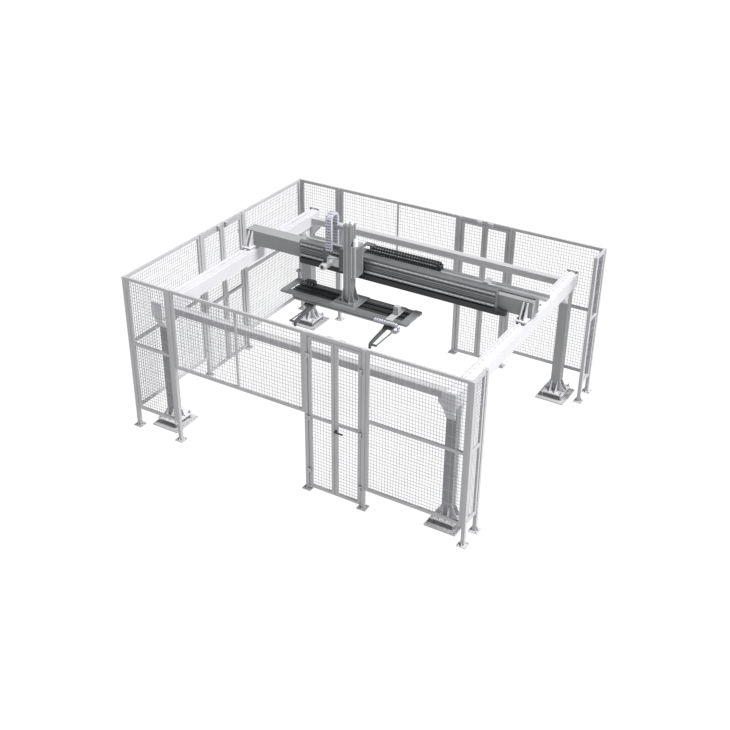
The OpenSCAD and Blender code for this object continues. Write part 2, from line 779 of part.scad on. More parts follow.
// Ribbed housing of the lift's drive, on the right of the mast
module z_drive_cover() color(frame_grey) {
    block([z_cover_x, z_cover_y0, z_cover_z0], [z_cover_x + 64, z_cover_y1, z_cover_z1]);
    for (y = [z_cover_y0 + 24:26:z_cover_y1 - 20])
        block([z_cover_x + 64 - eps, y, z_cover_z0 + 24], [z_cover_x + 74, y + 8, z_cover_z1 - 24]);
}

// Servo motor that stands on the lift's drive housing
module z_drive_motor() color("white") translate([z_cover_x + 37, z_cover_y0 + 48, z_cover_z1 + 0.2]) {
    cylinder(r = 36, h = 12);
    cylinder(r = 33, h = 84);
    translate([0, 0, 84 - eps]) cylinder(r1 = 33, r2 = 24, h = 10);
}

// ---- mast and gripper -------------------------------------------------------------------------

// A slotted profile's section, centred; slots is the number of slots on each side
module slotted(w, h, slots_w, slots_h) {
    difference() {
        square([w, h], center = true);
        for (k = [0:slots_w - 1], s = [-1, 1])
            translate([(k + 0.5) * w / slots_w - w / 2, s * h / 2])
                square([slot_w, 2 * slot_d], center = true);
        for (k = [0:slots_h - 1], s = [-1, 1])
            translate([s * w / 2, (k + 0.5) * h / slots_h - h / 2])
                square([2 * slot_d, slot_w], center = true);
    }
}

// The mast: a slotted column with a guide rail behind, a cap, and the bracket for the lift's chain
module mast_profile() color(silver) {
    translate([mast_x, mast_y, mast_z0 + 20.2]) linear_extrude(mast_z1 - mast_z0 - 32)
        slotted(mast_w, mast_w, 2, 2);
    stand(mast_x, mast_y, mast_z1 - 12, [mast_w + 8, mast_w + 8, 12]);
    stand(mast_x, mast_back + mast_rail_t / 2 - eps, carriage_z0 - 110,
          [mast_rail, mast_rail_t, mast_z1 - 12 - carriage_z0 + 110 + eps]);
    block([mast_x - mast_w / 2 - clip_t, mast_y, clip_z],
          [mast_x - mast_w / 2 + eps, carriage_front - 3, clip_z + clip_h]);
    block([z_chain_x + clip_out - eps, clip_y0, clip_z],
          [mast_x - mast_w / 2 - clip_t + eps, carriage_front - 3, clip_z + clip_h]);
    difference() {
        block([z_chain_x - clip_out, clip_y0, clip_z],
              [z_chain_x + clip_out, clip_y0 + clip_d, clip_z + clip_h]);
        block([z_chain_x - z_chain_w / 2 - 2, z_back_leg - 2, clip_z - 1],
              [z_chain_x + z_chain_w / 2 + 2, z_back_leg + chain_h + 2, clip_z + clip_h + 1]);
    }
}

// The mast's flange with a gusset on every side
module mast_foot() color(silver) translate([mast_x, mast_y, mast_z0]) {
    difference() {
        stand(0, 0, 0, [mast_w + 190, mast_w + 150, 20]);
        for (sx = [-1, 1], sy = [-1, 1])
            translate([sx * flange_x / 2, sy * flange_y / 2, -1]) cylinder(r = flange_hole, h = 22);
    }
    for (a = [0:3], k = [-1, 1]) rotate([0, 0, 90 * a])
        gusset_x([mast_w / 2 + 0.2, k * (mast_w / 2 - 10), 20 - eps], 58, 210, 10);
}

module gripper_plate() color(silver) difference() {
    stand(mast_x, grip_y, mast_z0 - 11.8, [400, grip_d, 11.6]);
    for (sx = [-1, 1], sy = [-1, 1])
        translate([mast_x + sx * flange_x / 2, mast_y + sy * flange_y / 2, mast_z0 - 14])
            cylinder(r = flange_hole, h = 22);
}

// A long strip along X on a shorter slotted bar, with the guide rail for the jaws under it
module gripper_bar(y) color(silver) {
    stand(mast_x, y, bar_z + bar_h - bar_top, [grip_l, bar_w, bar_top]);
    translate([mast_x - bar_l / 2, y, bar_z + (bar_h - bar_top) / 2]) rotate([90, 0, 90])
        linear_extrude(bar_l) slotted(bar_w - 16, bar_h - bar_top + 2 * eps, 2, 1);
    stand(mast_x, y, bar_z - slide_h + eps, [bar_l - 10, slide_w, slide_h]);
}

module gripper_bar_front() gripper_bar(grip_front + bar_w / 2);
module gripper_bar_back() gripper_bar(grip_back - bar_w / 2);

// A plate across both bars at each end, with an upright stop
module gripper_ends() color(silver) for (s = [-1, 1]) {
    x = mast_x + s * (grip_l / 2 - 60);
    stand(x, grip_y, mast_z0 - 11.8, [110, grip_d, 12]);
    stand(x + s * 30, grip_y, bar_z + bar_h - 40, [20, grip_d - 2 * bar_w - 2, 40.5]);
}

// Motor and gearbox for the jaws' belt, upright on a plate across both bars
module gripper_motor() color(black) {
    stand(grip_motor_x, grip_y, mast_z0 - 11.8, [110, grip_d, 10]);
    stand(grip_motor_x, grip_y, mast_z0 - 1.8 - eps, [84, 84, 44]);
    stand(grip_motor_x, grip_y, mast_z0 + 42, [66, 66, 76]);
    stand(grip_motor_x + 45, grip_y, mast_z0 - 1.8 - eps, [8, 96, 100]);
}

// A jaw: its slide plate with blocks over both rails, a tapered finger with a hooked tip and a
// steadying rod, joined at the tip. s is 1 for the right jaw
module jaw(s) {
    translate([mast_x + (s > 0 ? jaw_x : -jaw_left_x), 0, 0]) mirror([s < 0 ? 1 : 0, 0, 0]) {
        color(black) {
            stand(0, grip_y, jaw_z, [jaw_w, grip_d + 30, jaw_t]);
            for (y = [grip_front + bar_w / 2, grip_back - bar_w / 2], x = [-1, 1])
                stand(0, y + x * (slide_w / 2 + 11), jaw_z + jaw_t - eps, [jaw_w, 20, slide_h - 2]);
            translate([-45 - finger_t / 2, 0, 0]) rotate([90, 0, 90]) linear_extrude(finger_t) polygon([
                [grip_front + 40, jaw_z + eps], [grip_front - 15, jaw_z + jaw_t], [finger_y + 30, jaw_z - 30],
                [finger_y, jaw_z - 50], [finger_y - 6, jaw_z - 120], [finger_y + 14, jaw_z - 120],
                [finger_y + 40, jaw_z - 72], [grip_front - 10, jaw_z - 36], [grip_front + 40, jaw_z - 36]
            ]);
        }
        color(silver) {
            rod_y([45, finger_y + 24, jaw_z - 62], 9, grip_front + 60 - finger_y - 24);
            block([-45, finger_y + 12, jaw_z - 74], [57, finger_y + 32, jaw_z - 50]);
            block([33, grip_front + 40, jaw_z - 74], [57, grip_front + 70, jaw_z + eps]);
        }
    }
}

module jaw_left() jaw(-1);
module jaw_right() jaw(1);

fence_posts();
post_feet();
panels_narrow();
panels_wide();
panels_end();
panels_left();
panels_right();
door_headers();
door_hinges();
front_door_left();
front_door_right();
back_door_left();
back_door_right();
side_door_front();
side_door_back();
front_door_handle();
back_door_handle();
side_door_handle();
column_front_left();
column_front_right();
column_back_left();
column_back_right();
column_bases();
floor_plates();
levelling_screws();
haunch_brackets();
runway_left();
runway_right();
runway_rails();
runway_racks();
cross_beam_front();
cross_beam_back();
bridge_beam();
end_truck_left();
end_truck_right();
axis_profile();
axis_rails();
belt_cover();
cable_tray();
y_drive_motor();
line_shaft();
carriage_plate();
x_drive_motor();
z_drive_cover();
z_drive_motor();
x_chain_lower();
x_chain_bend();
x_chain_upper();
z_chain_leg();
z_chain_arch();
mast_profile();
mast_foot();
gripper_plate();
gripper_bar_front();
gripper_bar_back();
gripper_ends();
gripper_motor();
gripper_chain();
jaw_left();
jaw_right();
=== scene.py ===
"""Looks of a gantry robot in a mesh guard cell. Metres, +Z up; the front of the cell faces -Y."""

import json
import math

import bmesh
import bpy
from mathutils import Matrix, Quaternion, Vector


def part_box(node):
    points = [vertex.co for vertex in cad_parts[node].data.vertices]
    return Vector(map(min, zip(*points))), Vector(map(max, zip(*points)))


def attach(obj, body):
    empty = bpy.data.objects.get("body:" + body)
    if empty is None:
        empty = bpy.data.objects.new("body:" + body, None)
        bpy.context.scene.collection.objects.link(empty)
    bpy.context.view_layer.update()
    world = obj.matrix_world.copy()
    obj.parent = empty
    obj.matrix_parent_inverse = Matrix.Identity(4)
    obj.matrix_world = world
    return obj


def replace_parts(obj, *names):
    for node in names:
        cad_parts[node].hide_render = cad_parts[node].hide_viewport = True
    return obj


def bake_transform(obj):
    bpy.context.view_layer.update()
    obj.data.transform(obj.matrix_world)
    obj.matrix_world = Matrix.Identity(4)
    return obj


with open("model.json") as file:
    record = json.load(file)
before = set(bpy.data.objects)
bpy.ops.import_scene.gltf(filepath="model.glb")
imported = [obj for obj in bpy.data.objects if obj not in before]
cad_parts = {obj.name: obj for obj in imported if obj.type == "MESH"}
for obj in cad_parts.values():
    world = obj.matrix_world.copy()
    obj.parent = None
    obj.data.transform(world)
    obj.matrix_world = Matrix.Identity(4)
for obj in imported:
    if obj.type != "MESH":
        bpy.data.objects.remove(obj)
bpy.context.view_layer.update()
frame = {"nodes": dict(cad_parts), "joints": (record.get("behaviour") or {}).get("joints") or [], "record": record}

X, Y, Z = Vector((1, 0, 0)), Vector((0, 1, 0)), Vector((0, 0, 1))

WHITE = (1.0, 1.0, 1.0)

# Camera: where it stands, what it looks at, its lens, its slight roll and how far it sees
CAMERA_AT = Vector((7.001, -12.097, 8.946))
CAMERA_TARGET = Vector((0.335, -0.723, 1.2))
CAMERA_LENS = 54.3
CAMERA_ROLL = math.radians(0.615)
CAMERA_REACH = 100

# Floor: half its side, how far its top and its foot lie below the object, its colour and its glow
FLOOR_HALF = 60
FLOOR_DROP = 0.0005
FLOOR_FOOT = 0.05
FLOOR_COLOR = (0.04, 0.04, 0.04)
FLOOR_GLOW = 0.97

# Sun: its strength, its spread and the way it shines
SUN_POWER = 5.6
SUN_SPREAD = math.radians(25)
SUN_WAY = Vector((-0.55, -0.1, -1))

# Sky: where it starts and stops fading between the horizon and straight up, and its grey overhead
SKY_FADE = (0.24, 0.42)
SKY_TOP = (0.17, 0.17, 0.18)

# Fence: frame tube, infill wire, the CAD's coarse pitch and the true one (along the wall and up), the
# gap between a leaf and its hinge's axis, half a panel's thickness, and the nodes to fill with wires
TUBE = 0.045
WIRE_R = 0.0024
COARSE_U, COARSE_Z = 0.16, 0.20
FINE_U, FINE_Z = 0.04, 0.05
DOOR_GAP = 0.006
PANEL_HALF = 0.015
PANELS = ("panels_narrow", "panels_wide", "panels_end", "panels_left", "panels_right")
LEAVES = ("front_door_left", "front_door_right", "back_door_left", "back_door_right",
          "side_door_front", "side_door_back")

# Width of the softened edges on metalwork and on thin wire work, and the angles that count as
# edges when a piece is softened and when it is shaded
EDGE = 0.002
THIN_EDGE = 0.0008
EDGE_ANGLE = math.radians(40)
SHADE_ANGLE = math.radians(35)
# Corners closer than this are welded, and corners that agree to this many digits are one corner
WELD = 0.00002
DIGITS = 5

# Bolt: its washer's radius and thickness, the height of the head's edge and of its top, and the
# radius of that top, all as shares of the head's radius
WASHER_R, WASHER_T = 1.7, 0.25
HEAD_EDGE, HEAD_TOP, HEAD_TOP_R = 1.3, 1.5, 0.8

# Sides of round pieces, from motors down to wires
MOTOR_SIDES, BOLT_SIDES, SCREW_SIDES, WIRE_SIDES = 32, 16, 12, 8

# Flat screw heads in rows: their height, and how far they are sunk into the face
SCREW_HEIGHT = 0.0012
SCREW_SUNK = 0.0004

# Chain link: half its length and half its bars as shares of the pitch, its cut corners as a share
# of its half height, and the thickness of its side plates and bars
LINK_HALF, LINK_BAR, LINK_CUT = 0.52, 0.3, 0.45
LINK_SIDE_T, LINK_BAR_T = 0.006, 0.005
# Links in a turn are longer than their share of it, so that their plates meet
BEND_STRETCH = 1.02
# Pitch of each chain, and the height of the gripper's
CROSS_PITCH, LIFT_PITCH, JAW_PITCH = 0.042, 0.044, 0.036
JAW_CHAIN_H = 0.030

# Surfaces: stops of the ramp that turns broad noise into shade, that noise's scale and detail, the
# fine grain's detail, the share by which gloss varies, and the depth of the relief
SHADE_STOPS = (0.35, 0.68)
BROAD_SCALE, BROAD_DETAIL = 2.2, 7
GRAIN_DETAIL = 3
GLOSS_SHARE = 0.18
RELIEF = 0.0006


# ---- materials ------------------------------------------------------------------------------------

def mix_towards(nodes, links, factor, low, high):
    """A colour that goes from low to high with factor."""
    ramp = nodes.new("ShaderNodeValToRGB")
    first, last = ramp.color_ramp.elements
    first.position, last.position = SHADE_STOPS
    first.color = (*low, 1)
    last.color = (*high, 1)
    links.new(factor, ramp.inputs["Fac"])
    return ramp.outputs["Color"]


def finish_of(name, color, rough, metal=0.0, soil=0.85, grain=350.0, stretch=(1, 1, 1), bump=0.08,
              coat=0.0):
    """A surface with fine grain in its gloss and relief, and broad soft variation in its colour. soil
    is how dark its darkest areas are, and stretch draws the grain out into brushed lines."""
    made = bpy.data.materials.new(name)
    made.use_nodes = True
    nodes, links = made.node_tree.nodes, made.node_tree.links
    shader = nodes["Principled BSDF"]
    shader.inputs["Metallic"].default_value = metal
    shader.inputs["Coat Weight"].default_value = coat
    place = nodes.new("ShaderNodeTexCoord")
    fit = nodes.new("ShaderNodeMapping")
    fit.inputs["Scale"].default_value = stretch
    links.new(place.outputs["Object"], fit.inputs["Vector"])
    fine = nodes.new("ShaderNodeTexNoise")
    fine.inputs["Scale"].default_value = grain
    fine.inputs["Detail"].default_value = GRAIN_DETAIL
    links.new(fit.outputs["Vector"], fine.inputs["Vector"])
    broad = nodes.new("ShaderNodeTexNoise")
    broad.inputs["Scale"].default_value = BROAD_SCALE
    broad.inputs["Detail"].default_value = BROAD_DETAIL
    links.new(place.outputs["Object"], broad.inputs["Vector"])
    shade = mix_towards(nodes, links, broad.outputs["Fac"], [c * soil for c in color], color)
    links.new(shade, shader.inputs["Base Color"])
    gloss = nodes.new("ShaderNodeMapRange")
    gloss.inputs["To Min"].default_value = rough * (1 - GLOSS_SHARE)
    gloss.inputs["To Max"].default_value = rough * (1 + GLOSS_SHARE)
    links.new(fine.outputs["Fac"], gloss.inputs["Value"])
    links.new(gloss.outputs["Result"], shader.inputs["Roughness"])
    relief = nodes.new("ShaderNodeBump")
    relief.inputs["Strength"].default_value = bump
    relief.inputs["Distance"].default_value = RELIEF
    links.new(fine.outputs["Fac"], relief.inputs["Height"])
    links.new(relief.outputs["Normal"], shader.inputs["Normal"])
    return made


FENCE = finish_of("fence_powder_coat", (0.44, 0.44, 0.45), 0.55, soil=0.93, grain=500, bump=0.12)
WIRES = finish_of("fence_wire", (0.25, 0.25, 0.29), 0.5, soil=0.95, grain=700)
FRAME = finish_of("frame_paint", (0.58, 0.58, 0.60), 0.5, soil=0.94, grain=300, bump=0.1)
BEAM = finish_of("beam_paint", (0.29, 0.295, 0.30), 0.5, soil=0.92, grain=300, bump=0.1)
DARK = finish_of("dark_steel", (0.10, 0.105, 0.11), 0.48, metal=0.4, soil=0.8, grain=260)
STEEL = finish_of("ground_steel", (0.55, 0.56, 0.58), 0.28, metal=1.0, grain=90, stretch=(1, 18, 18))
ALU = finish_of("anodised_aluminium", (0.36, 0.37, 0.38), 0.4, metal=0.6, grain=70, stretch=(14, 14, 1))
ALU_X = finish_of("anodised_bar", (0.27, 0.275, 0.28), 0.4, metal=0.6, grain=70, stretch=(1, 14, 14))
ZINC = finish_of("galvanised_sheet", (0.62, 0.63, 0.64), 0.38, metal=0.6, soil=0.86, grain=45)
GRAPHITE = finish_of("graphite_plate", (0.15, 0.155, 0.16), 0.45, metal=0.3, soil=0.85, grain=260)
BLACK = finish_of("black_plastic", (0.032, 0.033, 0.036), 0.5, soil=0.8, grain=420, bump=0.15)
PALE = finish_of("pale_plastic", (0.56, 0.565, 0.62), 0.45, soil=0.93, grain=420, bump=0.12)
MOTOR = finish_of("motor_paint", (0.42, 0.42, 0.43), 0.4, soil=0.9, grain=240, bump=0.14, coat=0.1)
COVER = finish_of("cover_paint", (0.70, 0.70, 0.70), 0.38, soil=0.95, grain=300, coat=0.2)

LOOKS = {
    "fence_paint": FENCE, "frame_paint": FRAME, "bridge_paint": BEAM, "dark_steel": DARK,
    "bright_steel": STEEL, "aluminium": ALU, "zinc_sheet": ZINC, "black_plastic": BLACK,
    "grey_plastic": PALE, "motor_grey": MOTOR, "cover_white": COVER,
}
# Nodes that look different from the rest of their slot
SPECIAL = {
    "floor_plates": FENCE, "runway_rails": FRAME, "runway_racks": FRAME, "end_truck_left": FRAME,
    "end_truck_right": FRAME, "z_drive_cover": BEAM, "x_drive_motor": COVER, "gripper_plate": ALU,
    "cross_beam_front": FENCE, "cross_beam_back": FENCE, "carriage_plate": GRAPHITE,
    "gripper_bar_front": ALU_X, "gripper_bar_back": ALU_X, "axis_profile": ALU_X,
    "column_front_left": BEAM, "column_front_right": BEAM,
    "column_back_left": BEAM, "column_back_right": BEAM,
}


# ---- mesh building --------------------------------------------------------------------------------

def soften(piece, width=EDGE):
    """Rounds the sharp edges of a piece, without changing its mesh."""
    weld = piece.modifiers.new("weld", "WELD")
    weld.merge_threshold = WELD
    bevel = piece.modifiers.new("edges", "BEVEL")
    bevel.width = width
    bevel.segments = 2
    bevel.limit_method = "ANGLE"
    bevel.angle_limit = EDGE_ANGLE
    bevel.use_clamp_overlap = True


class Shape:
    """Closed solids gathered into one piece, each with its own material."""

    def __init__(self, name):
        self.name, self.mesh, self.paints = name, bmesh.new(), []

    def solid(self, points, faces, paint):
        """A closed solid from its corners and the corner numbers of its faces."""
        if paint not in self.paints:
            self.paints.append(paint)
        corners = [self.mesh.verts.new(p) for p in points]
        for f in faces:
            self.mesh.faces.new([corners[i] for i in f]).material_index = self.paints.index(paint)

    def box(self, low, high, paint):
        """A block between its lowest and highest corners."""
        self.extrude([Vector((low[0], low[1], low[2])), Vector((high[0], low[1], low[2])),
                      Vector((high[0], high[1], low[2])), Vector((low[0], high[1], low[2]))],
                     Z * (high[2] - low[2]), paint)

    def extrude(self, outline, by, paint):
        """A prism: an outline of points in space, moved along a vector."""
        n = len(outline)
        points = [Vector(p) for p in outline] + [Vector(p) + by for p in outline]
        sides = [(i, (i + 1) % n, n + (i + 1) % n, n + i) for i in range(n)]
        self.solid(points, [tuple(range(n - 1, -1, -1)), tuple(range(n, 2 * n)), *sides], paint)

    def turned(self, at, axis, profile, paint, sides):
        """A body of revolution from (distance along axis, radius) pairs."""
        axis = Vector(axis).normalized()
        u = axis.orthogonal().normalized()
        v = axis.cross(u)
        points = [Vector(at) + axis * d + (u * math.cos(a) + v * math.sin(a)) * r
                  for d, r in profile for a in [2 * math.pi * k / sides for k in range(sides)]]
        walls = [(s * sides + k, s * sides + (k + 1) % sides,
                  (s + 1) * sides + (k + 1) % sides, (s + 1) * sides + k)
                 for s in range(len(profile) - 1) for k in range(sides)]
        last = (len(profile) - 1) * sides
        ends = [tuple(range(sides - 1, -1, -1)), tuple(range(last, last + sides))]
        self.solid(points, [*ends, *walls], paint)

    def rod(self, start, end, r, paint, sides=WIRE_SIDES):
        """A straight round bar."""
        way = Vector(end) - Vector(start)
        self.turned(start, way, [(0, r), (way.length, r)], paint, sides)

    def bolt(self, at, axis, r, paint):
        """A washer and a screw's head, of radius r, that stand on a face."""
        washer = [(0, r * WASHER_R), (r * WASHER_T, r * WASHER_R)]
        head = [(r * WASHER_T, r), (r * HEAD_EDGE, r), (r * HEAD_TOP, r * HEAD_TOP_R)]
        self.turned(at, axis, washer, paint, BOLT_SIDES)
        self.turned(at, axis, head, paint, SCREW_SIDES)

    def screw_row(self, start, way, length, pitch, out, r, paint):
        """Flat screw heads in the middle of equal steps along a line, on a face that looks along out."""
        for i in range(int(length / pitch)):
            at = start + way * (pitch * (i + 0.5)) - out * SCREW_SUNK
            self.turned(at, out, [(0, r), (SCREW_HEIGHT, r)], paint, SCREW_SIDES)

    def done(self, body, edges=0.0):
        """Makes the object, on a body unless that is None, with its finish's slot and edges that soft."""
        bmesh.ops.recalc_face_normals(self.mesh, faces=self.mesh.faces)
        data = bpy.data.meshes.new(self.name)
        self.mesh.to_mesh(data)
        self.mesh.free()
        for paint in self.paints:
            data.materials.append(paint)
        data.shade_smooth()
        data.set_sharp_from_angle(angle=SHADE_ANGLE)
        piece = bpy.data.objects.new(self.name, data)
        bpy.context.scene.collection.objects.link(piece)
        if edges:
            soften(piece, edges)
        if body:
            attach(piece, body)
        return piece


def solids(node):
    """Boxes of a node's separate solids, as (lowest corner, highest corner) pairs in order of place."""
    data = frame["nodes"][node].data
    key = [tuple(round(c, DIGITS) for c in v.co) for v in data.vertices]
    parent = {k: k for k in key}

    def root(k):
        while parent[k] != k:
            parent[k] = parent[parent[k]]
            k = parent[k]
        return k

    for face in data.polygons:
        first = root(key[face.vertices[0]])
        for i in face.vertices[1:]:
            parent[root(key[i])] = first
    groups = {}
    for k in parent:
        groups.setdefault(root(k), []).append(k)
    boxes = [(Vector(map(min, zip(*g))), Vector(map(max, zip(*g)))) for g in groups.values()]
    return sorted(boxes, key=lambda b: tuple(b[0]))


def joint_of(body):
    """The joint that moves a body."""
    return next(joint for joint in frame["joints"] if joint["child"] == body)


# ---- fence ----------------------------------------------------------------------------------------

def infill(shape, along, u0, u1, z0, z1, plane, out):
    """The wires between the coarse ones of a framed panel, from u0 to u1 along a wall. along is 0 for
    a wall along X and 1 for one along Y, plane is the panel's middle across the wall, and out is the
    sign of the outward direction. Upright wires lie outside the level ones."""
    def at(u, across, z):
        point = Vector((0, 0, z))
        point[along], point[1 - along] = u, across
        return point

    width, height = u1 - u0 - 2 * TUBE, z1 - z0 - 2 * TUBE
    cells_u, cells_z = max(1, int(width / COARSE_U)), max(1, int(height / COARSE_Z))
    split_u = round(width / cells_u / FINE_U)
    split_z = round(height / cells_z / FINE_Z)
    outer, inner = plane + out * WIRE_R, plane - out * WIRE_R
    for i in range(1, cells_u * split_u):
        if i % split_u:
            u = u0 + TUBE + width * i / (cells_u * split_u)
            shape.rod(at(u, outer, z0 + TUBE / 2), at(u, outer, z1 - TUBE / 2), WIRE_R, WIRES)
    for i in range(1, cells_z * split_z):
        if i % split_z:
            z = z0 + TUBE + height * i / (cells_z * split_z)
            shape.rod(at(u0 + TUBE / 2, inner, z), at(u1 - TUBE / 2, inner, z), WIRE_R, WIRES)


def fill_panels(node):
    """Fine infill for each bay of a fixed panel node."""
    shape = Shape("infill_" + node)
    for low, high in solids(node):
        along = 0 if high.x - low.x > high.y - low.y else 1
        plane = (low[1 - along] + high[1 - along]) / 2
        infill(shape, along, low[along], high[along], low.z, high.z, plane, math.copysign(1, plane))
    return shape.done("cell")


def fill_leaf(node):
    """Fine infill for a door leaf, which starts a gap away from its hinge's axis."""
    low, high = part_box(node)
    along = 1 if node.startswith("side") else 0
    axis = joint_of(node)["pos_m"][along]
    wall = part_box("panels_left" if along else "panels_narrow")
    plane = (wall[0].x + wall[1].x) / 2 if along else math.copysign(wall[1].y - PANEL_HALF, low.y)
    if high[along] - axis > axis - low[along]:
        u0, u1 = axis + DOOR_GAP, high[along]
    else:
        u0, u1 = low[along], axis - DOOR_GAP
    shape = Shape("infill_" + node)
    infill(shape, along, u0, u1, low.z, high.z, plane, math.copysign(1, plane))
    return shape.done(node)


def panel_screws():
    """Screws that hold the panels to the posts, on the inner faces of their side tubes."""
    inset, shares_up, screw_r = 0.012, (0.08, 0.5, 0.92), 0.006
    shape = Shape("panel_screws")
    for low, high in [corners for node in PANELS for corners in solids(node)]:
        along = 0 if high.x - low.x > high.y - low.y else 1
        plane = (low[1 - along] + high[1 - along]) / 2
        inward = -math.copysign(1, plane)
        for u in (low[along] + inset, high[along] - inset):
            for share in shares_up:
                at = Vector((0, 0, low.z + (high.z - low.z) * share))
                at[along], at[1 - along] = u, plane + inward * PANEL_HALF
                axis = Vector((0, 0, 0))
                axis[1 - along] = inward
                shape.bolt(at, axis, screw_r, STEEL)
    return shape.done("cell")


# ---- gantry and bridge ----------------------------------------------------------------------------

def rail_screws():
    """Screw heads along the two guide rails."""
    screw_pitch, screw_r = 0.12, 0.006
    shape = Shape("runway_rail_screws")
    for low, high in solids("runway_rails"):
        start = Vector(((low.x + high.x) / 2, low.y, high.z))
        shape.screw_row(start, Y, high.y - low.y, screw_pitch, Z, screw_r, STEEL)
    return shape.done("cell")


def buffers():
    """Rubber buffers on the inner faces of the runways' end stops."""
    stop, side, down = 0.012, 0.03, 0.018
    profile = [(0, 0.012), (0.02, 0.012), (0.026, 0.008)]
    shape = Shape("runway_buffers")
    for node in ("runway_left", "runway_right"):
        low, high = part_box(node)
        for end, inward in ((low.y + stop, Y), (high.y - stop, -Y)):
            for x in (low.x + side, high.x - side):
                shape.turned((x, end, high.z - down), inward, profile, DARK, BOLT_SIDES)
    return shape.done("cell")


def axis_details():
    """Screws along the cross axis's rails, and long black strips between them that are painted shade standing in
    for the profile's slots.
    """
    screw_pitch, screw_r = 0.08, 0.005
    first_slot, slot_pitch, slots = 0.075, 0.05, 3
    shade_strip_inset, shade_strip_t, shade_strip_half = 0.02, 0.003, 0.004
    shape = Shape("cross_axis_details")
    for low, high in solids("axis_rails"):
        start = Vector((low.x, low.y, (low.z + high.z) / 2))
        shape.screw_row(start, X, high.x - low.x, screw_pitch, -Y, screw_r, DARK)
    low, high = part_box("axis_profile")
    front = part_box("axis_rails")[1].y
    # Black strips on the profile's face: painted shade where its slots would lie in shadow
    for i in range(slots):
        z = low.z + first_slot + i * slot_pitch
        shape.box((low.x + shade_strip_inset, front - shade_strip_t, z - shade_strip_half),
                  (high.x - shade_strip_inset, front, z + shade_strip_half), BLACK)
    return shape.done("bridge")


def beam_details():
    """A bolt at each corner of the beam's ends."""
    inset, bolt_r = 0.035, 0.008
    shape = Shape("bridge_beam_details")
    low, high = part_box("bridge_beam")
    for x, way in ((low.x, -X), (high.x, X)):
        for y in (low.y + inset, high.y - inset):
            for z in (low.z + inset, high.z - inset):
                shape.bolt((x, y, z), way, bolt_r, STEEL)
    return shape.done("bridge")


# ---- energy chains --------------------------------------------------------------------------------

def link(shape, at, forward, across, pitch, width, height, paint):
    """One chain link: two side plates with cut corners, and a bar above and below."""
    up = forward.cross(across).normalized()

    def local(x, y, z):
        return at + forward * x + across * y + up * z

    half, tall = pitch * LINK_HALF, height / 2
    cut = min(half, tall) * LINK_CUT
    side = [(-half, -tall + cut), (-half + cut, -tall), (half - cut, -tall), (half, -tall + cut),
            (half, tall - cut), (half - cut, tall), (-half + cut, tall), (-half, tall - cut)]
    for y in (-width / 2, width / 2 - LINK_SIDE_T):
        shape.extrude([local(x, y, z) for x, z in side], across * LINK_SIDE_T, paint)
    bar, inner = pitch * LINK_BAR, -width / 2 + LINK_SIDE_T
    for low in (-tall, tall - LINK_BAR_T):
        corners = [(-bar, low), (bar, low), (bar, low + LINK_BAR_T), (-bar, low + LINK_BAR_T)]
        shape.extrude([local(x, inner, z) for x, z in corners], across * (width - 2 * LINK_SIDE_T), paint)


def straight_links(shape, start, end, across, pitch, width, height, paint):
    """A straight run of links, with the pitch changed a little so that whole links fill it."""
    way = end - start
    n = max(1, round(way.length / pitch))
    step = way / n
    for i in range(n):
        middle = start + step * (i + 0.5)
        link(shape, middle, way.normalized(), across, step.length, width, height, paint)


def bent_links(shape, centre, first, across, radius, pitch, width, height, paint):
    """Half a turn of links, clockwise when across points at the viewer. first points from the centre to
    the start of the turn."""
    n = max(3, round(math.pi * radius / pitch))
    length = math.pi * radius / n * BEND_STRETCH
    for i in range(n):
        out = Quaternion(across, -math.pi * (i + 0.5) / n) @ first
        link(shape, centre + out * radius, out.cross(across).normalized(), across, length,
             width, height, paint)


def cross_chain():
    """The cross axis's chain: the lower run and the turn move together, and the upper run joins the
    turn to the carriage. The lower run goes on under the upper one, so none is missing at full travel."""
    low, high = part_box("x_chain_bend")
    mid = Vector((low.x, (low.y + high.y) / 2, (low.z + high.z) / 2))
    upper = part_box("x_chain_upper")
    height = upper[1].z - upper[0].z
    width = high.y - low.y
    radius = (high.z - low.z) / 2 - height / 2
    travel = joint_of("x_chain_bend")["range_m"]
    shape = Shape("cross_chain_lower")
    start = Vector((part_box("x_chain_lower")[0].x + travel[0], mid.y, mid.z - radius))
    turn_start = Vector((mid.x, mid.y, mid.z - radius))
    straight_links(shape, start, turn_start, Y, CROSS_PITCH, width, height, BLACK)
    bent_links(shape, mid, -Z, Y, radius, CROSS_PITCH, width, height, BLACK)
    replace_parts(shape.done("x_chain_bend"), "x_chain_lower", "x_chain_bend")
    shape = Shape("cross_chain_upper")
    left = Vector((upper[0].x, mid.y, mid.z + radius))
    right = Vector((mid.x, mid.y, mid.z + radius))
    straight_links(shape, left, right, Y, CROSS_PITCH, width, height, BLACK)
    piece = shape.done(None)
    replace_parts(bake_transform(piece), "x_chain_upper")


def lift_chain():
    """The lift's chain: the front leg stretches between carriage and arch, the rest is one piece."""
    leg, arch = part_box("z_chain_leg"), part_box("z_chain_arch")
    width, height = leg[1].x - leg[0].x, leg[1].y - leg[0].y
    front_y = (leg[0].y + leg[1].y) / 2
    back_y = arch[1].y - height / 2
    radius = (back_y - front_y) / 2
    top = Vector(((leg[0].x + leg[1].x) / 2, (front_y + back_y) / 2, leg[1].z))
    back_foot, back_top = Vector((top.x, back_y, arch[0].z)), Vector((top.x, back_y, top.z))
    shape = Shape("lift_chain_arch")
    bent_links(shape, top, -Y, X, radius, LIFT_PITCH, width, height, PALE)
    straight_links(shape, back_foot, back_top, X, LIFT_PITCH, width, height, PALE)
    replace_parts(shape.done("z_chain_arch"), "z_chain_arch")
    shape = Shape("lift_chain_leg")
    bottom = Vector((top.x, front_y, leg[0].z))
    end = Vector((top.x, front_y, top.z))
    straight_links(shape, bottom, end, X, LIFT_PITCH, width, height, PALE)
    piece = shape.done(None)
    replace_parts(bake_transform(piece), "z_chain_leg")


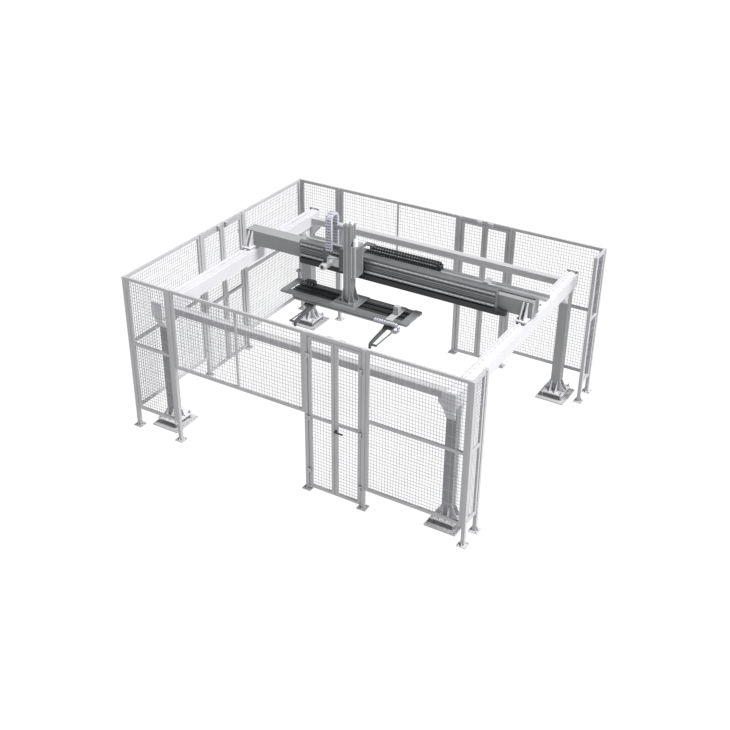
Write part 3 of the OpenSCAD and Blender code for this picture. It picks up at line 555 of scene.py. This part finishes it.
def jaw_chain():
    """The gripper's chain: the upper run and the turn move together, and the lower run reaches the
    right jaw, all but a small gap."""
    gap = 0.001
    low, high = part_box("gripper_chain")
    width = high.y - low.y
    radius = (high.z - low.z) / 2 - JAW_CHAIN_H / 2
    mid = Vector((high.x - radius - JAW_CHAIN_H / 2, (low.y + high.y) / 2, (low.z + high.z) / 2))
    shape = Shape("jaw_chain_upper")
    left, right = Vector((low.x, mid.y, mid.z + radius)), Vector((mid.x, mid.y, mid.z + radius))
    straight_links(shape, left, right, Y, JAW_PITCH, width, JAW_CHAIN_H, PALE)
    bent_links(shape, mid, -Z, Y, radius, JAW_PITCH, width, JAW_CHAIN_H, PALE)
    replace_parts(shape.done("gripper_chain"), "gripper_chain")
    shape = Shape("jaw_chain_lower")
    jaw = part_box("jaw_right")
    start = Vector((jaw[1].x + gap, mid.y, mid.z - radius))
    end = Vector((mid.x, mid.y, mid.z - radius))
    straight_links(shape, start, end, Y, JAW_PITCH, width, JAW_CHAIN_H, PALE)
    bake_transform(shape.done(None))


# ---- motors, mast and gripper ---------------------------------------------------------------------

def x_motor_details():
    """Cooling rings, an end disc and a connector box on the carriage's motor."""
    left_of_axis, above_axis = 0.062, 0.056
    first_ring, ring_pitch, rings = 0.046, 0.016, 9
    ring = [(0, 0.0565), (0.006, 0.0565)]
    disc, disc_out = [(0, 0.03), (0.003, 0.03)], 0.002
    plug_half, plug_from, plug_to, plug_foot, plug_top = 0.02, 0.05, 0.1, 0.05, 0.078
    shape = Shape("x_motor_details")
    low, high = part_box("x_drive_motor")
    x, z = low.x + left_of_axis, high.z - above_axis
    for i in range(rings):
        shape.turned((x, low.y + first_ring + i * ring_pitch, z), Y, ring, MOTOR, MOTOR_SIDES)
    shape.turned((x, low.y - disc_out, z), Y, disc, DARK, MOTOR_SIDES)
    shape.box((x - plug_half, low.y + plug_from, z + plug_foot),
              (x + plug_half, low.y + plug_to, z + plug_top), DARK)
    return shape.done("carriage", EDGE)


def lift_motor_dome():
    """The round end of the lift's motor, and two light strips on the front of its drive's housing."""
    strip_w, strip_t, rib_depth = 0.009, 0.003, 0.010
    dome_h, dome_r, dome_sunk, steps = 0.022, 0.024, 0.001, 8
    shape = Shape("lift_motor_dome")
    low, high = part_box("z_drive_cover")
    for x in (low.x, high.x - rib_depth - strip_w):
        shape.box((x, low.y - strip_t, low.z), (x + strip_w, low.y, high.z), COVER)
    low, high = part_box("z_drive_motor")
    at = ((low.x + high.x) / 2, (low.y + high.y) / 2, high.z - dome_sunk)
    angles = [math.pi / 2 * k / steps for k in range(steps)]
    profile = [(dome_h * math.sin(a), dome_r * math.cos(a)) for a in angles]
    shape.turned(at, Z, profile, COVER, MOTOR_SIDES)
    return shape.done("carriage")


def mast_details():
    """Bolts at the corners of the mast's flange, and two clamps on its cap."""
    bolts_x, bolts_y, flange_t, bolt_r = 0.250, 0.220, 0.020, 0.010
    clamp_x, clamp_half, clamp_deep, clamp_h = 0.04, 0.016, 0.03, 0.03
    shape = Shape("mast_details")
    low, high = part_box("mast_foot")
    mid = (low + high) / 2
    for x in (mid.x - bolts_x / 2, mid.x + bolts_x / 2):
        for y in (mid.y - bolts_y / 2, mid.y + bolts_y / 2):
            shape.bolt((x, y, low.z + flange_t), Z, bolt_r, STEEL)
    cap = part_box("mast_profile")[1].z
    for x in (mid.x - clamp_x, mid.x + clamp_x):
        shape.box((x - clamp_half, mid.y - clamp_deep, cap),
                  (x + clamp_half, mid.y + clamp_deep, cap + clamp_h), COVER)
    return shape.done("mast", EDGE)


def jaw_belts():
    """Two dark channels between the gripper's end plates, with the jaws' toothed belts in them."""
    off_middle, half, depth, sheet, below_bars = 0.06, 0.05, 0.038, 0.006, 0.006
    belt_half, belt_top, belt_foot = 0.016, 0.010, 0.014
    shape = Shape("jaw_belt_channels")
    left, right = solids("gripper_ends")
    x0, x1 = left[1].x, right[0].x
    front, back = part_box("gripper_bar_front"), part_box("gripper_bar_back")
    top = front[1].z - below_bars
    middle = (front[1].y + back[0].y) / 2
    for y in (middle - off_middle, middle + off_middle):
        shape.box((x0, y - half, top - depth - sheet), (x1, y + half, top - depth), DARK)
        for wall in (y - half, y + half - sheet):
            shape.box((x0, wall, top - depth), (x1, wall + sheet, top), DARK)
        shape.box((x0, y - belt_half, top - belt_foot), (x1, y + belt_half, top - belt_top), BLACK)
    return shape.done("mast")


def gripper_fixture():
    """A valve block with three fittings, and an upright hose stand, at the gripper's left end."""
    block_from, block_to, block_front, block_back, block_h = 0.08, 0.24, 0.040, 0.035, 0.055
    fittings, fitting_z = (0.11, 0.16, 0.21), 0.028
    fitting = [(0, 0.011), (0.022, 0.011), (0.026, 0.008)]
    post_x, post_r, post_h = 0.05, 0.012, 0.13
    head_from, head_to, head_half, head_top = 0.025, 0.085, 0.03, 0.165
    shape = Shape("gripper_left_fixture")
    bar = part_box("gripper_bar_back")
    left = solids("gripper_ends")[0]
    x, y, top = left[1].x, (bar[0].y + bar[1].y) / 2, bar[1].z
    shape.box((x + block_from, y - block_front, top), (x + block_to, y + block_back, top + block_h), DARK)
    for step in fittings:
        shape.turned((x + step, y - block_front, top + fitting_z), -Y, fitting, STEEL, BOLT_SIDES)
    x, foot = left[0].x, left[1].z
    shape.rod((x + post_x, y, foot), (x + post_x, y, foot + post_h), post_r, MOTOR, BOLT_SIDES)
    shape.box((x + head_from, y - head_half, foot + post_h),
              (x + head_to, y + head_half, foot + head_top), MOTOR)
    return shape.done("mast", EDGE)


def jaw_details(side):
    """Bolts on top of a jaw's slide plate, which is plate_foot above the tip of its hanging arm."""
    side_inset, rows, bolt_r = 0.02, (0.03, 0.2), 0.006
    plate_foot, plate_t = 0.12, 0.026
    node = "jaw_" + side
    low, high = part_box(node)
    shape = Shape(node + "_details")
    for row in rows:
        for x in (low.x + side_inset, high.x - side_inset):
            shape.bolt((x, high.y - row, low.z + plate_foot + plate_t), Z, bolt_r, STEEL)
    return shape.done(node)


# ---- stage ----------------------------------------------------------------------------------------

def place(thing, way, roll=0.0):
    """Puts a camera or lamp into the scene, facing along way and rolled about it."""
    bpy.context.scene.collection.objects.link(thing)
    thing.rotation_mode = "QUATERNION"
    thing.rotation_quaternion = way.to_track_quat("-Z", "Y") @ Quaternion((0, 0, 1), roll)


def make_camera():
    """The camera in front of the cell's right corner, above it."""
    data = bpy.data.cameras.new("camera")
    data.lens = CAMERA_LENS
    data.clip_end = CAMERA_REACH
    camera = bpy.data.objects.new("camera", data)
    camera.location = CAMERA_AT
    place(camera, CAMERA_TARGET - CAMERA_AT, CAMERA_ROLL)
    bpy.context.scene.camera = camera


def make_floor():
    """A white floor whose light is nearly all its own, so that shadows on it stay faint."""
    paint = bpy.data.materials.new("floor_paint")
    paint.use_nodes = True
    shader = paint.node_tree.nodes["Principled BSDF"]
    shader.inputs["Base Color"].default_value = (*FLOOR_COLOR, 1)
    shader.inputs["Roughness"].default_value = 1.0
    shader.inputs["Emission Color"].default_value = (*WHITE, 1)
    shader.inputs["Emission Strength"].default_value = FLOOR_GLOW
    floor = Shape("floor")
    floor.box((-FLOOR_HALF, -FLOOR_HALF, -FLOOR_FOOT), (FLOOR_HALF, FLOOR_HALF, -FLOOR_DROP), paint)
    floor.done(None)


def make_sky():
    """A sky that fades from white at the horizon to a weak grey overhead."""
    world = bpy.data.worlds.new("studio")
    bpy.context.scene.world = world
    world.use_nodes = True
    nodes, links = world.node_tree.nodes, world.node_tree.links
    height = nodes.new("ShaderNodeSeparateXYZ")
    links.new(nodes.new("ShaderNodeTexCoord").outputs["Generated"], height.inputs["Vector"])
    fade = nodes.new("ShaderNodeValToRGB")
    horizon, zenith = fade.color_ramp.elements
    horizon.position, zenith.position = SKY_FADE
    horizon.color = (*WHITE, 1)
    zenith.color = (*SKY_TOP, 1)
    links.new(height.outputs["Z"], fade.inputs["Fac"])
    links.new(fade.outputs["Color"], nodes["Background"].inputs["Color"])


def make_sun():
    """A broad soft sun from above and the right."""
    data = bpy.data.lights.new("key", "SUN")
    data.energy = SUN_POWER
    data.angle = SUN_SPREAD
    place(bpy.data.objects.new("key", data), SUN_WAY)


# ---- the scene ------------------------------------------------------------------------------------

def dress_frame():
    """Gives every CAD node its finish and softened edges."""
    slots = {s["node"]: s["material_slot"] for s in frame["record"]["subparts"]}
    for name, node in frame["nodes"].items():
        look = SPECIAL.get(name, LOOKS[slots[name]])
        node.data.materials.clear()
        node.data.materials.append(look)
        soften(node, THIN_EDGE if name.startswith("panels") or "_door_" in name else EDGE)


make_camera()
make_floor()
make_sky()
make_sun()
bpy.context.scene.view_settings.view_transform = "Standard"
dress_frame()
for panels in PANELS:
    fill_panels(panels)
for leaf in LEAVES:
    fill_leaf(leaf)
panel_screws()
rail_screws()
buffers()
axis_details()
beam_details()
cross_chain()
lift_chain()
jaw_chain()
x_motor_details()
lift_motor_dome()
mast_details()
jaw_belts()
gripper_fixture()
for jaw_side in ("left", "right"):
    jaw_details(jaw_side)
